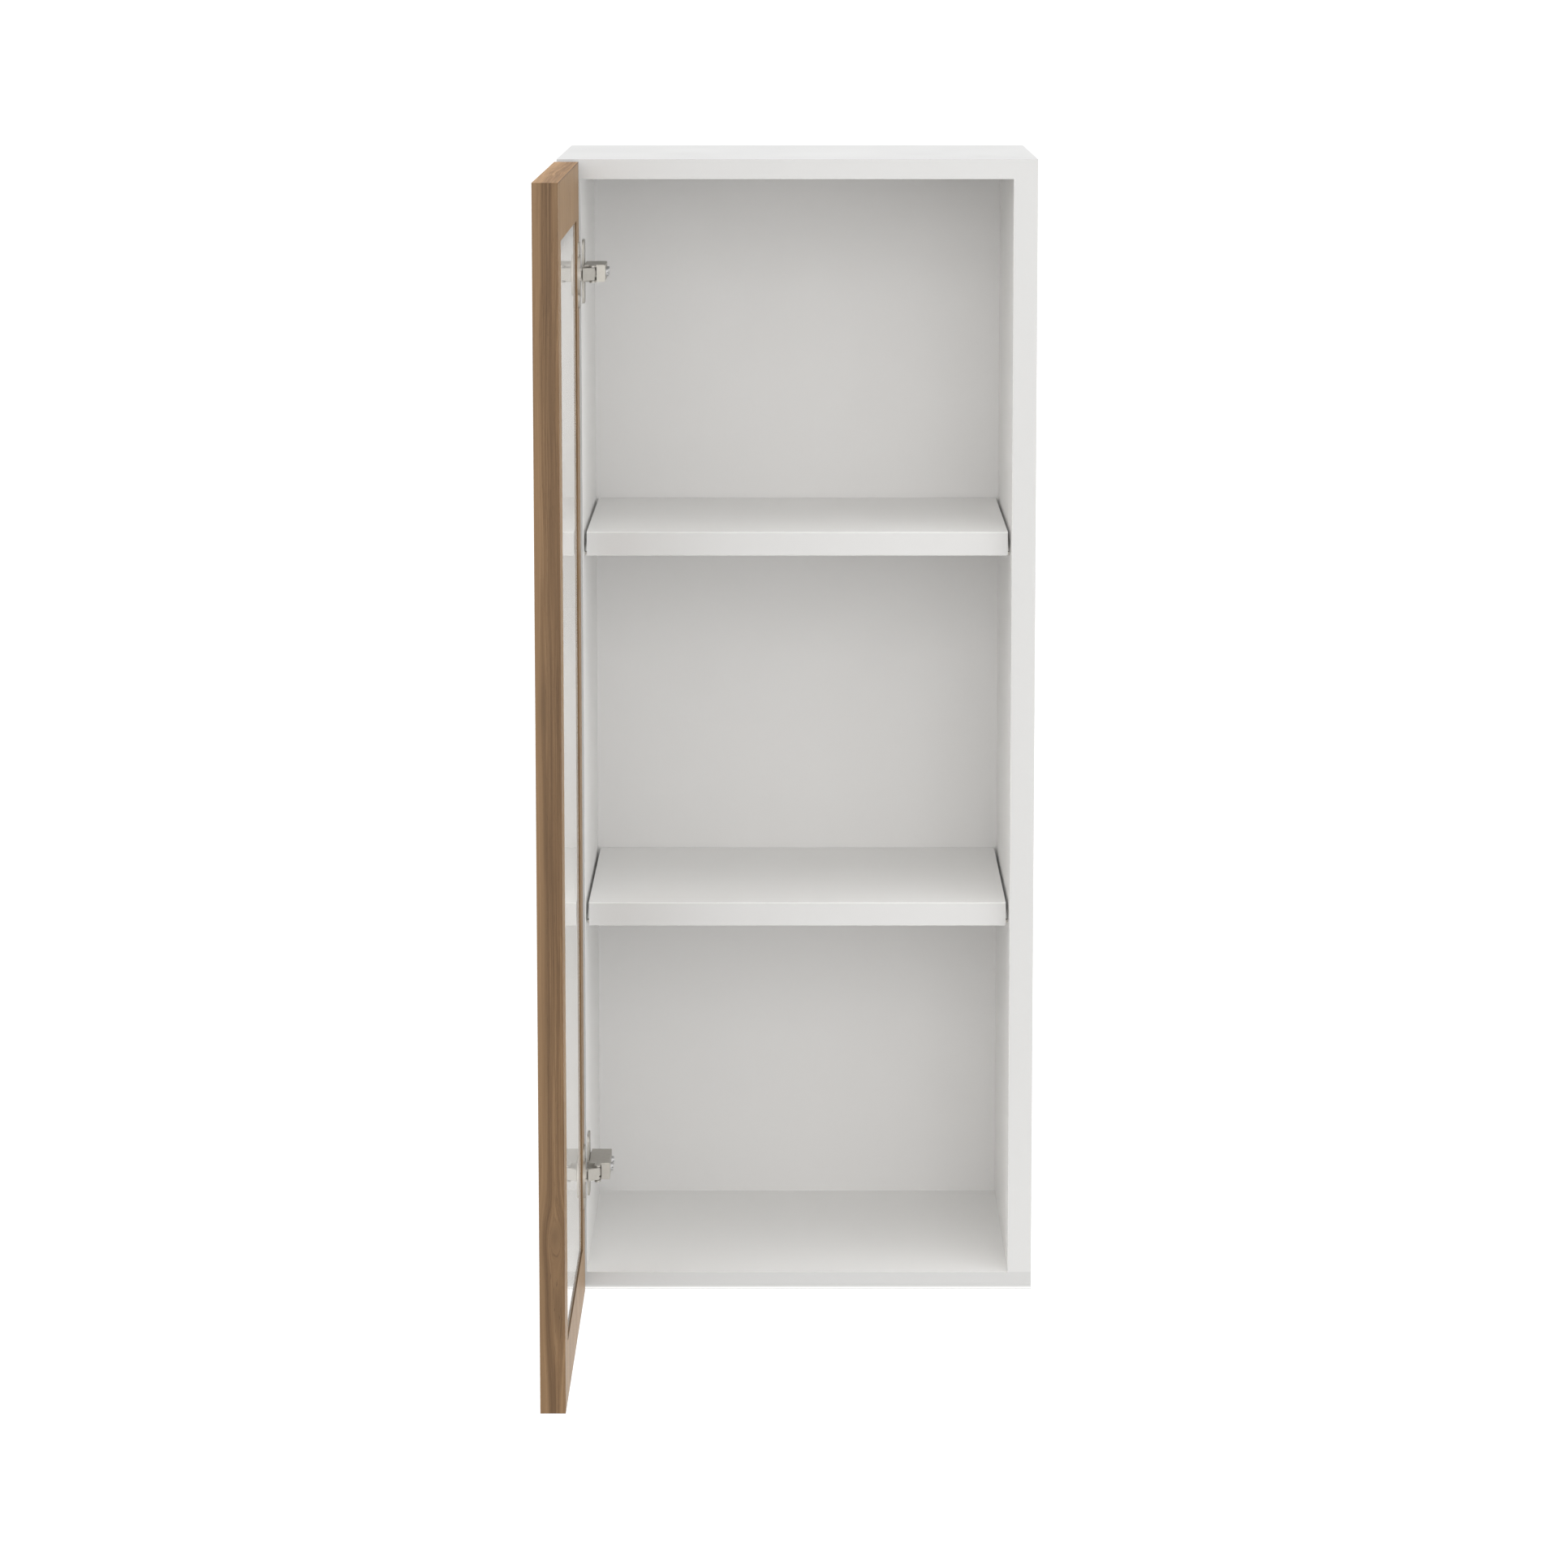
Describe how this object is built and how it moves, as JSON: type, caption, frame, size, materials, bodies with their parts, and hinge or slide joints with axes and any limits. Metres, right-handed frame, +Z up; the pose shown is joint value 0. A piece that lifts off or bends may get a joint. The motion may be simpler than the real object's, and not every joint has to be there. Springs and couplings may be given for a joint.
{
  "type": "hanging wall cabinet",
  "caption": "Tall narrow wall cabinet with white boards, loose shelves and a glazed wood-look door on concealed cup hinges, hung on keyhole plates.",
  "frame": {"origin": "midway between the two hanger keyholes, on the wall plane", "axes": "+X to the right as seen from the room, +Y into the wall, +Z up"},
  "size_m": [0.4416, 0.7898, 1.06],
  "materials": {
    "white_board": "satin white lacquer",
    "back_board": "satin white foil",
    "door_wood": "brown wood-look foil with upright grain",
    "door_edge": "brown wood-look edge band",
    "clear_glass": "clear polished",
    "clear_sealant": "translucent",
    "nickel_steel": "nickel plated",
    "zinc_steel": "zinc plated",
    "dowel_wood": "plain beech"
  },
  "bodies": {
    "carcass": {"top_panel": "white_board", "bottom_panel": "white_board", "side_panel_left": "white_board", "side_panel_right": "white_board", "back_panel": "back_board", "shelf_upper": "white_board", "shelf_lower": "white_board", "shelf_pins_upper": "nickel_steel", "shelf_pins_lower": "nickel_steel", "corner_dowels": "dowel_wood", "back_panel_nails": "zinc_steel", "hanger_plate_left": "zinc_steel", "hanger_plate_right": "zinc_steel", "hanger_plate_screws": "zinc_steel", "hinge_plate_upper": "nickel_steel", "hinge_plate_lower": "nickel_steel", "hinge_plate_screws": "zinc_steel", "hinge_arm_upper": "nickel_steel", "hinge_arm_lower": "nickel_steel", "arm_fixing_screws": "zinc_steel", "arm_adjusting_screws": "zinc_steel", "arm_pivot_pins": "zinc_steel"},
    "door": {"door_frame": "door_wood", "door_edge_bands": "door_edge", "door_glass": "clear_glass", "glass_bead": "clear_sealant", "hinge_cup_upper": "nickel_steel", "hinge_cup_lower": "nickel_steel", "cup_screws": "zinc_steel", "cup_pivot_pins": "zinc_steel", "hinge_springs": "zinc_steel"},
    "outer_link_upper": {"outer_link_upper": "nickel_steel"},
    "outer_link_lower": {"outer_link_lower": "nickel_steel"},
    "inner_link_upper": {"inner_link_upper": "nickel_steel"},
    "inner_link_lower": {"inner_link_lower": "nickel_steel"}
  },
  "joints": [
    {"name": "door_swing", "type": "hinge", "parent": "carcass", "child": "door", "pos_m": [-0.2117, -0.3596, -0.47], "axis": [0, 0, 1], "range_deg": [-10, 90]},
    {"name": "outer_link_upper_turn", "type": "hinge", "parent": "carcass", "child": "outer_link_upper", "pos_m": [-0.1872, -0.354, -0.044], "axis": [0, 0, 1], "range_deg": [-15.4, 1.8]},
    {"name": "inner_link_upper_turn", "type": "hinge", "parent": "carcass", "child": "inner_link_upper", "pos_m": [-0.1869, -0.3479, -0.044], "axis": [0, 0, 1], "range_deg": [-13.4, 1.6]},
    {"name": "outer_link_lower_turn", "type": "hinge", "parent": "carcass", "child": "outer_link_lower", "pos_m": [-0.1872, -0.354, -0.885], "axis": [0, 0, 1], "range_deg": [-15.4, 1.8]},
    {"name": "inner_link_lower_turn", "type": "hinge", "parent": "carcass", "child": "inner_link_lower", "pos_m": [-0.1869, -0.3479, -0.885], "axis": [0, 0, 1], "range_deg": [-13.4, 1.6]}
  ],
  "couplings": [
    {"joint": "outer_link_upper_turn", "follows": "door_swing", "ratio": -0.169},
    {"joint": "inner_link_upper_turn", "follows": "door_swing", "ratio": -0.147},
    {"joint": "outer_link_lower_turn", "follows": "door_swing", "ratio": -0.169},
    {"joint": "inner_link_lower_turn", "follows": "door_swing", "ratio": -0.147}
  ]
}
